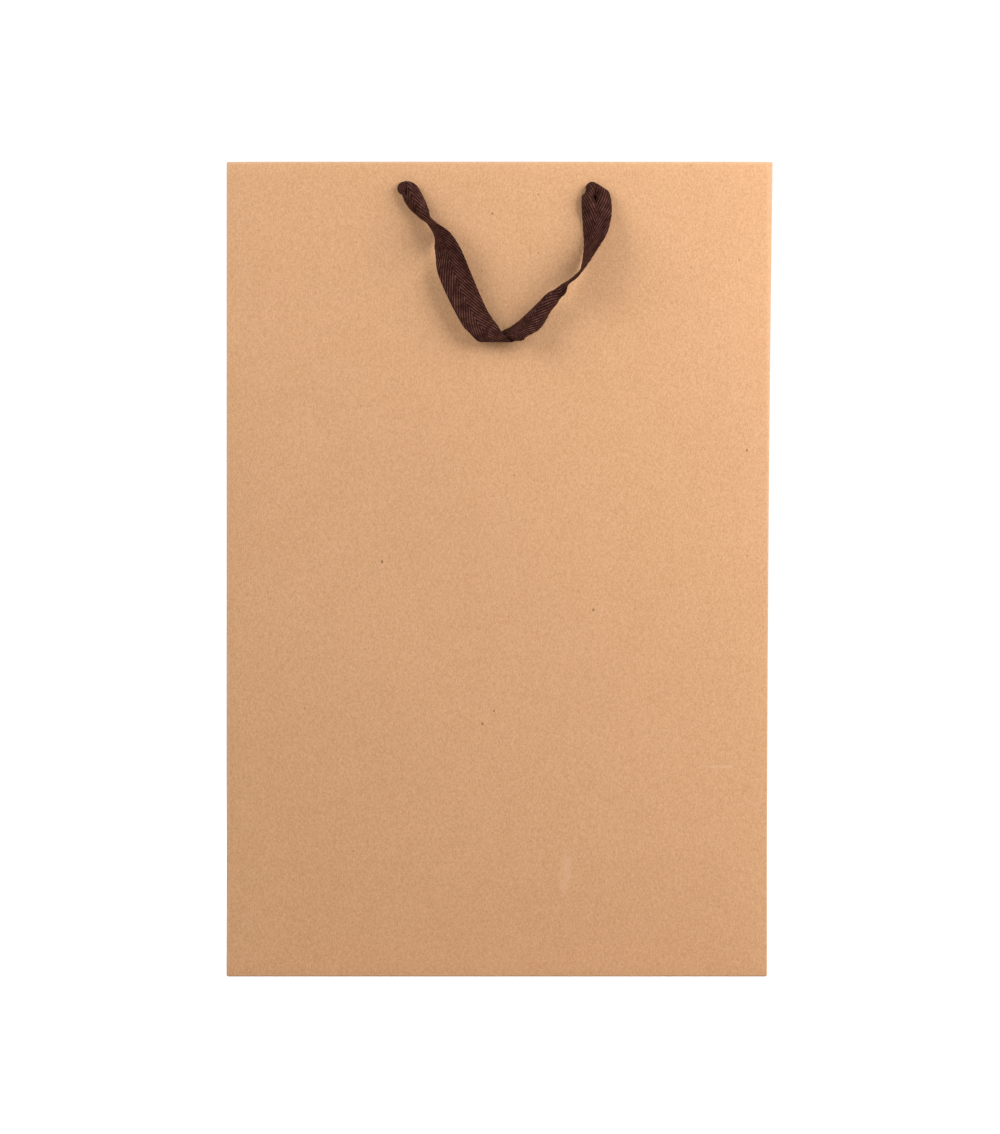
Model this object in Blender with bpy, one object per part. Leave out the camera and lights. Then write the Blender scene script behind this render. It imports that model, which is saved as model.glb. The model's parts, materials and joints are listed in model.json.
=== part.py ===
"""Kraft paper gift bag with two twill tape handles, standing open.

Frame: origin at the centre of the bag's footprint, on the surface it stands on, +Z up, the front towards -Y.
Run with: blender --background --python part.py
"""

import math

import bmesh
import bpy
from mathutils import Vector

MM = 0.001

# the paper sheet, folded to its outside size
BAG_WIDTH = 260 * MM
BAG_DEPTH = 110 * MM
BAG_HEIGHT = 390 * MM
PAPER = 0.35 * MM
TURN_IN_DEPTH = 40 * MM
SEAM_FLAP_WIDTH = 18 * MM
BOTTOM_FLAP_OVERLAP = 30 * MM
SIDE_FLAP_LENGTH = 52 * MM
SIDE_FLAP_TAPER = 30 * MM

# the loose stiffeners
CARD = 0.8 * MM
CARD_HEIGHT = 34 * MM
CARD_END_CLEARANCE = 3 * MM
BOARD = 1.2 * MM
BOARD_END_CLEARANCE = 4 * MM
BOARD_SIDE_CLEARANCE = 2 * MM

# the punched holes and the tape in them
HOLE_SPACING = 90 * MM
HOLE_DROP = 13 * MM
HOLE_RADIUS = 3.2 * MM
HOLE_SIDES = 24
NECK_CLEARANCE = 0.6 * MM
NECK_PROUD = 0.8 * MM
TAPE_WIDTH = 15 * MM
TAPE_THICKNESS = 1.0 * MM
GATHERED_WIDTH = 7 * MM
GATHERED_THICKNESS = 2.4 * MM
KNOT_WIDTH = 13 * MM
KNOT_DEPTH = 7 * MM
KNOT_HEIGHT = 12 * MM
TAIL_LENGTH = 22 * MM
TAIL_WIDTH = 11 * MM
HINGE_PROUD = 4.5 * MM

# fits: the air left between two pieces that touch, and the step from one layer to the next
GAP = 0.3 * MM
LAYER = PAPER + GAP

HOLE_HEIGHT = BAG_HEIGHT - HOLE_DROP
CARD_INSET = LAYER
LINING_INSET = CARD_INSET + CARD + GAP
KNOT_INSET = LINING_INSET + PAPER + GAP

# how the loop hangs: (across from the middle, proud of the hinge line, drop below the holes, all in mm),
# the direction of the tape's width there, and how far the gathered neck has opened out, 0 to 1
LOOP = (
    ((-45.0, 0.0, -2.2), (1.00, 0.00, 0.00), 0.0),
    ((-43.8, 0.1, 4.0), (0.95, 0.00, 0.30), 0.0),
    ((-38.5, 0.3, 12.5), (0.80, 0.20, 0.55), 0.1),
    ((-32.7, 1.8, 17.4), (0.30, 0.93, 0.15), 0.2),
    ((-27.2, 4.4, 25.6), (0.60, 0.74, 0.25), 0.8),
    ((-21.2, 3.8, 40.5), (0.88, 0.15, 0.42), 1.0),
    ((-12.0, 3.0, 59.0), (0.86, 0.00, 0.50), 1.0),
    ((-4.6, 3.0, 69.2), (0.86, 0.00, 0.50), 1.0),
    ((-2.8, 3.0, 72.2), (0.86, 0.10, 0.50), 1.0),
    ((-0.7, 1.5, 73.8), (0.84, 0.54, 0.00), 1.0),
    ((1.6, -0.4, 72.2), (0.82, 0.10, -0.56), 1.0),
    ((6.3, -0.5, 69.2), (0.72, 0.05, -0.70), 1.0),
    ((15.3, 0.5, 63.6), (0.66, 0.42, -0.62), 1.0),
    ((28.0, 5.0, 50.5), (0.38, 0.84, -0.38), 1.0),
    ((38.0, 6.0, 42.0), (0.15, 0.98, -0.12), 1.0),
    ((43.3, 5.0, 31.5), (0.72, 0.69, 0.05), 1.0),
    ((45.8, 0.7, 19.0), (1.00, 0.05, 0.00), 0.9),
    ((46.0, 0.0, 9.0), (1.00, 0.00, 0.00), 0.7),
    ((45.0, 0.0, -2.2), (1.00, 0.00, 0.00), 0.0),
)
LOOP_HALF_SPAN = 45  # half the hole spacing that these points were chosen for, in mm
LOOP_STEPS = 5

COLOURS = {
    "kraft": (0.66, 0.40, 0.22, 0.85),
    "kraft_inside": (0.62, 0.38, 0.21, 0.88),
    "grey_card": (0.42, 0.36, 0.29, 0.90),
    "brown_tape": (0.068, 0.024, 0.017, 0.80),
}


def clear_scene():
    for thing in list(bpy.data.objects):
        bpy.data.objects.remove(thing, do_unlink=True)


def make_material(name, colour):
    red, green, blue, roughness = COLOURS[colour]
    material = bpy.data.materials.new(name)
    material.use_nodes = True
    shader = material.node_tree.nodes["Principled BSDF"]
    shader.inputs["Base Color"].default_value = (red, green, blue, 1.0)
    shader.inputs["Roughness"].default_value = roughness
    shader.inputs["Metallic"].default_value = 0.0
    return material


def add_piece(name, mesh, colour, turned=False):
    """A named object; a turned one is the same shape on the opposite side of the bag."""
    piece = bpy.data.objects.new(name, mesh)
    bpy.context.collection.objects.link(piece)
    if turned:
        piece.rotation_euler.z = math.pi
    material = make_material(name, colour)
    if not mesh.materials:
        mesh.materials.append(material)
    piece.material_slots[0].link = "OBJECT"
    piece.material_slots[0].material = material
    return piece


def finish_mesh(name, bm):
    bmesh.ops.recalc_face_normals(bm, faces=bm.faces)
    mesh = bpy.data.meshes.new(name)
    bm.to_mesh(mesh)
    bm.free()
    return mesh


def slab_mesh(name, low, high):
    """A box between two corners."""
    bm = bmesh.new()
    bmesh.ops.create_cube(bm, size=1.0)
    for vert in bm.verts:
        vert.co = Vector([low[k] if vert.co[k] < 0 else high[k] for k in range(3)])
    return finish_mesh(name, bm)


def prism_mesh(name, outline, along, start, end):
    """A flat outline carried along one axis; the outline's points lie in the other two, in order."""
    across = [k for k in range(3) if k != along]
    bm = bmesh.new()
    rings = []
    for place in (start, end):
        ring = []
        for point in outline:
            at = Vector((0, 0, 0))
            at[across[0]], at[across[1]] = point
            at[along] = place
            ring.append(bm.verts.new(at))
        rings.append(ring)
    bm.faces.new(rings[0])
    bm.faces.new(rings[1])
    bmesh.ops.bridge_loops(bm, edges=bm.edges[:])
    return finish_mesh(name, bm)


def hole_cutters():
    """Punches on the hole line, long enough to pass through every layer of one wall."""
    punches = []
    for number, side in enumerate((-1, 1)):
        bm = bmesh.new()
        bmesh.ops.create_cone(
            bm,
            cap_ends=True,
            segments=HOLE_SIDES,
            radius1=HOLE_RADIUS,
            radius2=HOLE_RADIUS,
            depth=4 * KNOT_INSET,
        )
        punch = bpy.data.objects.new(f"hole_punch_{number}", finish_mesh("hole_punch", bm))
        bpy.context.collection.objects.link(punch)
        punch.location = (side * HOLE_SPACING / 2, -BAG_DEPTH / 2, HOLE_HEIGHT)
        punch.rotation_euler.x = math.pi / 2
        punch.hide_render = True
        punch.display_type = "WIRE"
        punches.append(punch)
    return punches


def punched(mesh, punches):
    """The mesh with the two handle holes cut through it."""
    blank = bpy.data.objects.new("blank", mesh)
    bpy.context.collection.objects.link(blank)
    for punch in punches:
        cut = blank.modifiers.new("hole", "BOOLEAN")
        cut.operation = "DIFFERENCE"
        cut.solver = "EXACT"
        cut.object = punch
    bpy.context.view_layer.update()
    evaluated = blank.evaluated_get(bpy.context.evaluated_depsgraph_get())
    cut_mesh = bpy.data.meshes.new_from_object(evaluated)
    cut_mesh.materials.clear()
    bpy.data.objects.remove(blank, do_unlink=True)
    return cut_mesh


def front_and_back(part_name, mesh, colour):
    add_piece("front_" + part_name, mesh, colour)
    add_piece("back_" + part_name, mesh, colour, turned=True)


def build_walls(punches):
    """The sheet's front and back panels and the four halves of its two gussets."""
    half_width = BAG_WIDTH / 2
    half_depth = BAG_DEPTH / 2
    panel = slab_mesh(
        "panel",
        (-half_width, -half_depth, 0),
        (half_width, -half_depth + PAPER, BAG_HEIGHT),
    )
    front_and_back("panel", punched(panel, punches), "kraft")
    near_half = slab_mesh(
        "gusset_half",
        (half_width - PAPER, -half_depth + LAYER, 0),
        (half_width, -GAP / 2, BAG_HEIGHT),
    )
    far_half = slab_mesh(
        "gusset_half",
        (half_width - PAPER, GAP / 2, 0),
        (half_width, half_depth - LAYER, BAG_HEIGHT),
    )
    add_piece("right_gusset_front_half", near_half, "kraft")
    add_piece("left_gusset_rear_half", near_half, "kraft", turned=True)
    add_piece("right_gusset_rear_half", far_half, "kraft")
    add_piece("left_gusset_front_half", far_half, "kraft", turned=True)


def build_seam():
    """The glue flap at the sheet's end, behind the back panel's left edge."""
    left = -BAG_WIDTH / 2 + LAYER
    outer = BAG_DEPTH / 2 - LAYER
    flap = slab_mesh(
        "seam_flap",
        (left, outer - PAPER, 3 * LAYER + GAP),
        (left + SEAM_FLAP_WIDTH, outer, BAG_HEIGHT - TURN_IN_DEPTH - GAP),
    )
    add_piece("side_seam_flap", flap, "kraft_inside")


def build_top_edge(punches):
    """The turned-in rim all round, and the card strips that stiffen it where the handles pull."""
    half_width = BAG_WIDTH / 2
    face = -BAG_DEPTH / 2
    rim_low = BAG_HEIGHT - TURN_IN_DEPTH
    outline = (
        (face + LAYER, BAG_HEIGHT),
        (face + LAYER, BAG_HEIGHT - PAPER),
        (face + LINING_INSET, BAG_HEIGHT - PAPER),
        (face + LINING_INSET, rim_low),
        (face + LINING_INSET + PAPER, rim_low),
        (face + LINING_INSET + PAPER, BAG_HEIGHT),
    )
    turn_in = prism_mesh("turn_in", outline, 0, -half_width + LAYER, half_width - LAYER)
    front_and_back("turn_in", punched(turn_in, punches), "kraft_inside")

    card_top = BAG_HEIGHT - LAYER
    card = slab_mesh(
        "top_card",
        (-half_width + CARD_END_CLEARANCE, face + CARD_INSET, card_top - CARD_HEIGHT),
        (half_width - CARD_END_CLEARANCE, face + CARD_INSET + CARD, card_top),
    )
    front_and_back("top_card", punched(card, punches), "grey_card")

    inner = half_width - LAYER
    near_end = face + KNOT_INSET
    near_half = slab_mesh("gusset_turn_in", (inner - PAPER, near_end, rim_low), (inner, -GAP / 2, BAG_HEIGHT))
    far_half = slab_mesh("gusset_turn_in", (inner - PAPER, GAP / 2, rim_low), (inner, -near_end, BAG_HEIGHT))
    add_piece("right_turn_in_front_half", near_half, "kraft_inside")
    add_piece("left_turn_in_rear_half", near_half, "kraft_inside", turned=True)
    add_piece("right_turn_in_rear_half", far_half, "kraft_inside")
    add_piece("left_turn_in_front_half", far_half, "kraft_inside", turned=True)


def build_bottom():
    """The glued bottom, from the floor up: front flap, back flap, then the two tapered side flaps."""
    half_width = BAG_WIDTH / 2 - LAYER
    half_depth = BAG_DEPTH / 2 - LAYER
    past_middle = BOTTOM_FLAP_OVERLAP / 2
    front = slab_mesh("front_bottom_flap", (-half_width, -half_depth, 0), (half_width, past_middle, PAPER))
    back = slab_mesh(
        "back_bottom_flap",
        (-half_width, -past_middle, LAYER),
        (half_width, half_depth, LAYER + PAPER),
    )
    add_piece("front_bottom_flap", front, "kraft")
    add_piece("back_bottom_flap", back, "kraft")
    tip = half_width - SIDE_FLAP_LENGTH
    tip_half = max(half_depth - SIDE_FLAP_TAPER, half_depth / 4)
    outline = ((half_width, -half_depth), (half_width, half_depth), (tip, tip_half), (tip, -tip_half))
    side = prism_mesh("side_bottom_flap", outline, 2, 2 * LAYER, 2 * LAYER + PAPER)
    add_piece("right_bottom_flap", side, "kraft_inside")
    add_piece("left_bottom_flap", side, "kraft_inside", turned=True)


def build_board():
    """The loose card that keeps the bottom flat; its origin is on its lift line."""
    half_width = BAG_WIDTH / 2 - PAPER - BOARD_END_CLEARANCE
    half_depth = BAG_DEPTH / 2 - BOARD_SIDE_CLEARANCE
    mesh = slab_mesh("bottom_board", (-half_width, -half_depth, 0), (half_width, half_depth, BOARD))
    board = add_piece("bottom_board", mesh, "grey_card")
    board.location.z = 3 * LAYER


def joined(name, solids):
    """One closed body made of overlapping closed ones."""
    blank = solids[0]
    for solid in solids[1:]:
        weld = blank.modifiers.new("weld", "BOOLEAN")
        weld.operation = "UNION"
        weld.solver = "EXACT"
        weld.object = solid
    bpy.context.view_layer.update()
    mesh = bpy.data.meshes.new_from_object(blank.evaluated_get(bpy.context.evaluated_depsgraph_get()))
    mesh.name = name
    mesh.materials.clear()
    for solid in solids:
        bpy.data.objects.remove(solid, do_unlink=True)
    return mesh


def loose_solid(mesh):
    solid = bpy.data.objects.new("loose", mesh)
    bpy.context.collection.objects.link(solid)
    return solid


def knot_mesh():
    """One knotted tape end about its hole's centre: neck through the wall, knot and tail inside."""
    neck = bmesh.new()
    neck_end = KNOT_INSET + KNOT_DEPTH / 2
    bmesh.ops.create_cone(
        neck,
        cap_ends=True,
        segments=HOLE_SIDES // 2,
        radius1=HOLE_RADIUS - NECK_CLEARANCE,
        radius2=HOLE_RADIUS - NECK_CLEARANCE,
        depth=neck_end + NECK_PROUD,
    )
    for vert in neck.verts:
        along = vert.co.z + (neck_end - NECK_PROUD) / 2
        vert.co = Vector((vert.co.x, along, vert.co.y))
    lump = bmesh.new()
    bmesh.ops.create_uvsphere(lump, u_segments=14, v_segments=8, radius=0.5)
    for vert in lump.verts:
        vert.co.x *= KNOT_WIDTH
        vert.co.y = vert.co.y * KNOT_DEPTH + KNOT_INSET + KNOT_DEPTH / 2
        vert.co.z *= KNOT_HEIGHT
    tail_inset = KNOT_INSET + KNOT_DEPTH / 2
    tail = slab_mesh(
        "tail",
        (-TAIL_WIDTH / 2, tail_inset - TAPE_THICKNESS / 2, -KNOT_HEIGHT / 4 - TAIL_LENGTH),
        (TAIL_WIDTH / 2, tail_inset + TAPE_THICKNESS / 2, -KNOT_HEIGHT / 4),
    )
    solids = [loose_solid(finish_mesh("lump", lump)), loose_solid(finish_mesh("neck", neck)), loose_solid(tail)]
    return joined("knot", solids)


def build_knots():
    mesh = knot_mesh()
    for wall, sign in (("front", 1), ("back", -1)):
        for end, across in (("left", -1), ("right", 1)):
            knot = add_piece(f"{wall}_{end}_knot", mesh, "brown_tape", turned=sign < 0)
            knot.location = (across * HOLE_SPACING / 2, -sign * BAG_DEPTH / 2, HOLE_HEIGHT)


def smooth_between(values, index, part):
    """Catmull-Rom through a list of vectors: the point a part of the way from index to the next."""
    last = len(values) - 1
    before, start, end, after = (Vector(values[min(max(index + k, 0), last)]) for k in (-1, 0, 1, 2))
    return 0.5 * (
        2 * start
        + (end - before) * part
        + (2 * before - 5 * start + 4 * end - after) * part**2
        + (3 * start - before - 3 * end + after) * part**3
    )


def loop_stations():
    """Centre, width direction, width and thickness at each step round the loop."""
    shift = HOLE_SPACING / 2 - LOOP_HALF_SPAN * MM
    places = []
    for (across, proud, drop), _, _ in LOOP:
        spread = shift * across / LOOP_HALF_SPAN
        places.append((across * MM + spread, -proud * MM, -drop * MM))
    ways = [(way[0], -way[1], way[2]) for _, way, _ in LOOP]
    opened = [(share, 0, 0) for _, _, share in LOOP]
    stations = []
    for index in range(len(LOOP) - 1):
        steps = LOOP_STEPS if index < len(LOOP) - 2 else LOOP_STEPS + 1
        for step in range(steps):
            part = step / LOOP_STEPS
            share = min(max(smooth_between(opened, index, part).x, 0.0), 1.0)
            stations.append(
                (
                    smooth_between(places, index, part),
                    smooth_between(ways, index, part).normalized(),
                    GATHERED_WIDTH + share * (TAPE_WIDTH - GATHERED_WIDTH),
                    GATHERED_THICKNESS + share * (TAPE_THICKNESS - GATHERED_THICKNESS),
                )
            )
    return stations


def loop_mesh():
    """The tape between two holes, about its hinge line's middle: a flat strip that twists and folds."""
    stations = loop_stations()
    bm = bmesh.new()
    rings = []
    for number, (centre, way, width, thickness) in enumerate(stations):
        before = stations[max(number - 1, 0)][0]
        after = stations[min(number + 1, len(stations) - 1)][0]
        ahead = (after - before).normalized()
        across = (way - ahead * way.dot(ahead)).normalized()
        face = ahead.cross(across)
        # the tape lies in front of its wall, however wide it is and however it turns
        reach = abs(across.y) * width / 2 + abs(face.y) * thickness / 2
        centre.y = min(centre.y, HINGE_PROUD - GAP - reach)
        corners = ((-1, -1), (1, -1), (1, 1), (-1, 1))
        rings.append(
            [bm.verts.new(centre + across * width / 2 * u + face * thickness / 2 * v) for u, v in corners]
        )
    for ring, following in zip(rings, rings[1:]):
        for corner in range(4):
            other = (corner + 1) % 4
            bm.faces.new((ring[corner], ring[other], following[other], following[corner]))
    bm.faces.new(rings[0])
    bm.faces.new(rings[-1])
    return finish_mesh("tape_loop", bm)


def build_handles():
    mesh = loop_mesh()
    for wall, sign in (("front", 1), ("back", -1)):
        hinge = bpy.data.objects.new(f"{wall}_handle_hinge", None)
        bpy.context.collection.objects.link(hinge)
        hinge.location = (0, -sign * (BAG_DEPTH / 2 + HINGE_PROUD), HOLE_HEIGHT)
        handle = add_piece(f"{wall}_handle", mesh, "brown_tape", turned=sign < 0)
        handle.parent = hinge


def main():
    clear_scene()
    punches = hole_cutters()
    build_walls(punches)
    build_seam()
    build_top_edge(punches)
    build_bottom()
    build_board()
    build_knots()
    build_handles()


main()
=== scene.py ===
import json
import math

import bmesh
import bpy
import numpy as np
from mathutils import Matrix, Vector, noise


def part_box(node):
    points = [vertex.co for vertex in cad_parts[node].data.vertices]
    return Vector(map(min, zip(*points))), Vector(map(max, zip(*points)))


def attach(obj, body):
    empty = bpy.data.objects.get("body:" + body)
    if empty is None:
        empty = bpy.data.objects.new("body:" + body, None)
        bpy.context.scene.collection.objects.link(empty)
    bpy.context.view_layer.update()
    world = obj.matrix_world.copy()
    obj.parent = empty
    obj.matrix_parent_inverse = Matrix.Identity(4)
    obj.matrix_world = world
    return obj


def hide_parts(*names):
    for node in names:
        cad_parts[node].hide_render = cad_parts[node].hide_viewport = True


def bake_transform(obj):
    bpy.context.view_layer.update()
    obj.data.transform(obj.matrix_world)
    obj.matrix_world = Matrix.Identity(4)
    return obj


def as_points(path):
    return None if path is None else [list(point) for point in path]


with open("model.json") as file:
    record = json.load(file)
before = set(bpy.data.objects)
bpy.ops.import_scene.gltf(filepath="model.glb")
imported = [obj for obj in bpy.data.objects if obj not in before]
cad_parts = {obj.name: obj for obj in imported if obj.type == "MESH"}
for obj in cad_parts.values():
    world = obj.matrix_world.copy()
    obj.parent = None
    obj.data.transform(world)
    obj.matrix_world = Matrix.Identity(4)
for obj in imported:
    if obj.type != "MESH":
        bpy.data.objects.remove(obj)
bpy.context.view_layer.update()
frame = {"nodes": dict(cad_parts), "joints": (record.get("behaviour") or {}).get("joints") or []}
print("frame loaded")

mm = 0.001
uvUnit = 10 * mm  # one unit of the tape's UVs


def boxOf(node):
    low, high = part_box(node)
    return np.array(low), np.array(high)


# the bag's own sizes, read off the frame
panelLow, panelHigh = boxOf("front_panel")
backHigh = boxOf("back_panel")[1]
liningLow, liningHigh = boxOf("front_turn_in")
sideLow = boxOf("right_turn_in_front_half")[0]
seamLow, seamHigh = boxOf("side_seam_flap")
knotLow, knotHigh = boxOf("front_right_knot")
bag = {
    "halfWidth": panelHigh[0],
    "halfDepth": backHigh[1],
    "height": panelHigh[2],
    "paper": panelHigh[1] - panelLow[1],
    "rimDepth": liningHigh[2] - liningLow[2],
    "liningInset": liningHigh[1] - panelLow[1],
    "sideLiningInset": panelHigh[0] - sideLow[0],
    "holeAcross": (knotLow[0] + knotHigh[0]) / 2,
    "holeHeight": frame["joints"][0]["pos_m"][2],
    "holeRadius": 3.2 * mm,
    "hingeProud": -frame["joints"][0]["pos_m"][1] - backHigh[1],
}


# camera: square to the front, level, long lens

cameraPlace = {
    "lens": 100.0,
    "sensor": 36.0,
    "seenHeight": 0.5424,  # how much of the front's own plane the picture is tall
    "across": 0.0009,
    "up": 0.1960,
}


def placeCamera():
    data = bpy.data.cameras.new("camera")
    data.lens = cameraPlace["lens"]
    data.sensor_width = cameraPlace["sensor"]
    camera = bpy.data.objects.new("camera", data)
    bpy.context.scene.collection.objects.link(camera)
    away = cameraPlace["seenHeight"] * cameraPlace["lens"] / cameraPlace["sensor"]
    camera.location = (cameraPlace["across"], -bag["halfDepth"] - away, cameraPlace["up"])
    camera.rotation_euler = (math.pi / 2, 0, 0)
    bpy.context.scene.camera = camera


placeCamera()
print("camera placed")


# mesh helpers

def newPiece(name, verts, faces, smooth=True):
    mesh = bpy.data.meshes.new(name)
    mesh.from_pydata([tuple(v) for v in verts], [], [tuple(f) for f in faces])
    mesh.validate()
    piece = bpy.data.objects.new(name, mesh)
    bpy.context.scene.collection.objects.link(piece)
    if smooth:
        mesh.shade_smooth()
    return piece


# quads of a grid of rows of points; a closed one joins each row's ends
def gridFaces(rows, columns, closed=False, start=0):
    faces = []
    span = columns if closed else columns - 1
    for row in range(rows - 1):
        for column in range(span):
            beside = (column + 1) % columns
            faces.append((
                start + row * columns + column,
                start + row * columns + beside,
                start + (row + 1) * columns + beside,
                start + (row + 1) * columns + column,
            ))
    return faces


# two such grids, one after the other, joined round their rims into a closed slab
def slabFaces(rows, columns):
    total = rows * columns
    faces = gridFaces(rows, columns)
    faces += [tuple(corner + total for corner in reversed(face)) for face in faces]
    rim = list(range(columns)) + [row * columns + columns - 1 for row in range(1, rows)]
    rim += [(rows - 1) * columns + column for column in range(columns - 2, -1, -1)]
    rim += [row * columns for row in range(rows - 2, 0, -1)]
    for here, beside in zip(rim, rim[1:] + rim[:1]):
        faces.append((beside, here, here + total, beside + total))
    return faces


def smoothStep(value, low, high):
    share = min(max((value - low) / (high - low), 0.0), 1.0)
    return share * share * (3 - 2 * share)


# a smooth curve through rows of numbers, steps to each stretch (Catmull-Rom)
def throughPoints(points, steps):
    points = np.array(points, float)
    last = len(points) - 1
    found = []
    for index in range(last):
        before, start = points[max(index - 1, 0)], points[index]
        end, after = points[index + 1], points[min(index + 2, last)]
        for step in range(steps):
            t = step / steps
            found.append(0.5 * (
                2 * start
                + (end - before) * t
                + (2 * before - 5 * start + 4 * end - after) * t**2
                + (3 * start - before - 3 * end + after) * t**3
            ))
    found.append(points[last])
    return np.array(found)


# the same curve with its rows about spacing apart along the first three numbers
def evenlySpaced(rows, spacing):
    steps = np.linalg.norm(np.diff(rows[:, :3], axis=0), axis=1)
    along = np.concatenate([[0], np.cumsum(steps)])
    at = np.linspace(0, along[-1], int(along[-1] / spacing) + 1)
    return np.stack([np.interp(at, along, rows[:, k]) for k in range(rows.shape[1])], axis=1), at


# tape: a flat herringbone strip, with real ribs, that twists, curls and folds

tape = {
    "width": 15 * mm,
    "thickness": 0.70 * mm,
    "columns": 50,
    "spacing": 0.42 * mm,
    "ribPitch": 1.15 * mm,
    "ribLean": math.radians(25),
    "ribHeight": 0.17 * mm,
    "edgeRound": 0.5 * mm,
    "leastSlant": 0.86,  # a slanting row is no longer than the width over this
    "foldGather": 0.10,  # the share of its width that the tape loses where it is folded over
    "gatherShort": 0.55,
    "leastCurl": 0.02,
    "edgeFlat": 0.2,  # how thick the strip still is at its very edge, as a share
    "spineWidth": 0.35 * mm,
    "spineDip": 0.6,
    "ribSharpness": 1.3,
    # where the strip's swing starts at the wall, and where it is full: proud of the wall, below the hole
    "bendStart": (0.5 * mm, -1 * mm),
    "bendEnd": (6 * mm, 4 * mm),
}

# where the loop runs: across from the middle, proud of the hinge line and drop below the holes (mm),
# the direction of the tape's width, how far it is curled up (radians, its edges to the bag's side on the
# left where it is negative) and how far its threads keep to that direction as it slants (0 to 1)
loopRoute = [
    ((-45.0, -11.0, 0.0), (1.00, 0.00, 0.10), -6.0, 0.0),
    ((-45.0, -7.5, 0.0), (1.00, 0.00, 0.10), -6.0, 0.0),
    ((-44.8, -4.4, -0.3), (1.00, 0.00, 0.12), -5.4, 0.0),
    ((-43.8, -1.9, -0.7), (1.00, 0.00, 0.18), -4.4, 0.0),
    ((-42.3, -0.5, 0.9), (0.96, 0.00, 0.34), -3.9, 0.0),
    ((-40.7, 0.0, 4.6), (0.88, 0.06, 0.44), -3.6, 0.0),
    ((-38.6, 0.0, 8.8), (0.78, 0.24, 0.50), -3.9, 0.0),
    ((-36.0, 0.4, 12.8), (0.55, 0.70, 0.40), -4.0, 0.0),
    ((-33.3, 1.6, 16.2), (0.12, 0.98, 0.10), -2.2, 0.0),
    ((-30.3, 3.2, 20.6), (0.22, 0.97, 0.02), -1.3, 0.0),
    ((-27.2, 4.2, 25.6), (0.58, 0.76, 0.22), -0.9, 0.0),
    ((-24.1, 4.4, 31.6), (0.75, 0.55, 0.34), -0.3, 0.0),
    ((-21.4, 3.9, 39.8), (0.90, 0.16, 0.38), 0.0, 0.0),
    ((-18.2, 3.4, 47.6), (0.91, 0.03, 0.41), 0.15, 0.1),
    ((-14.6, 3.2, 55.5), (0.92, 0.00, 0.40), 0.15, 0.4),
    ((-10.9, 3.0, 62.6), (0.97, 0.00, 0.22), 0.1, 0.8),
    ((-6.9, 2.8, 68.2), (1.00, 0.00, 0.04), 0.0, 1.0),
    ((-3.8, 2.5, 71.8), (1.00, 0.00, 0.00), 0.0, 1.0),
    ((-2.3, 1.8, 73.1), (1.00, 0.00, 0.00), 0.0, 1.0),
    ((-1.0, 0.8, 73.5), (1.00, 0.00, 0.00), 0.0, 1.0),
    ((0.6, -0.2, 73.1), (1.00, 0.00, 0.00), 0.0, 1.0),
    ((2.9, -0.4, 72.2), (0.97, 0.20, -0.10), 0.0, 1.0),
    ((5.4, 0.9, 71.3), (0.76, 0.60, -0.24), 0.1, 1.0),
    ((7.8, 2.0, 70.2), (0.57, 0.73, -0.38), 0.2, 1.0),
    ((10.2, 2.6, 68.4), (0.45, 0.78, -0.45), 0.3, 0.8),
    ((12.9, 2.9, 65.9), (0.46, 0.74, -0.49), 1.2, 0.3),
    ((17.0, 3.4, 61.9), (0.56, 0.56, -0.61), 2.8, 0.0),
    ((21.4, 4.0, 57.1), (0.58, 0.52, -0.62), 4.4, 0.0),
    ((25.2, 4.6, 53.0), (0.54, 0.60, -0.58), 4.6, 0.0),
    ((28.4, 5.0, 50.3), (0.45, 0.74, -0.49), 4.2, 0.0),
    ((32.2, 5.6, 46.4), (0.13, 0.98, -0.16), 0.6, 0.0),
    ((36.2, 5.8, 43.4), (0.06, 0.99, -0.06), 0.5, 0.0),
    ((39.3, 5.5, 40.2), (0.08, 0.99, 0.02), 0.4, 0.0),
    ((41.4, 4.9, 36.3), (0.22, 0.97, 0.05), 0.3, 0.0),
    ((43.2, 4.0, 31.8), (0.38, 0.92, 0.08), 0.3, 0.0),
    ((44.9, 2.9, 26.8), (0.58, 0.81, 0.10), 0.3, 0.0),
    ((46.1, 2.0, 21.4), (0.78, 0.62, 0.10), 0.4, 0.0),
    ((46.7, 1.1, 15.4), (0.90, 0.42, 0.05), 0.6, 0.0),
    ((46.9, 0.4, 9.6), (0.99, 0.12, 0.00), 0.9, 0.0),
    ((46.8, 0.1, 5.0), (1.00, 0.00, 0.00), 1.3, 0.0),
    ((46.4, -0.5, 1.6), (1.00, 0.00, 0.00), 2.2, 0.0),
    ((45.7, -2.1, 0.0), (1.00, 0.00, 0.00), 3.9, 0.0),
    ((45.2, -4.4, 0.0), (1.00, 0.00, 0.00), 5.4, 0.0),
    ((45.0, -7.5, 0.0), (1.00, 0.00, 0.00), 6.0, 0.0),
    ((45.0, -11.0, 0.0), (1.00, 0.00, 0.00), 6.0, 0.0),
]

# where the tape is pinched narrower: across and drop (mm), the share lost and how far it reaches (mm)
pinches = ((-33.8, 15.6, 0.42, 5.0), (30.4, 48.7, 0.50, 4.4))

# gathers where the tape opens out of its hole: place on the tape (from that end, across), size and depth
gathers = (
    {"end": 0, "place": (12.4 * mm, -1.8 * mm), "size": (2.6 * mm, 1.2 * mm), "depth": 2.2 * mm},
    {"end": 1, "place": (13.6 * mm, -0.4 * mm), "size": (3.0 * mm, 1.6 * mm), "depth": 4.0 * mm},
    {"end": 1, "place": (18.0 * mm, 0.2 * mm), "size": (6.0 * mm, 1.6 * mm), "depth": 0.7 * mm},
)


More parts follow.
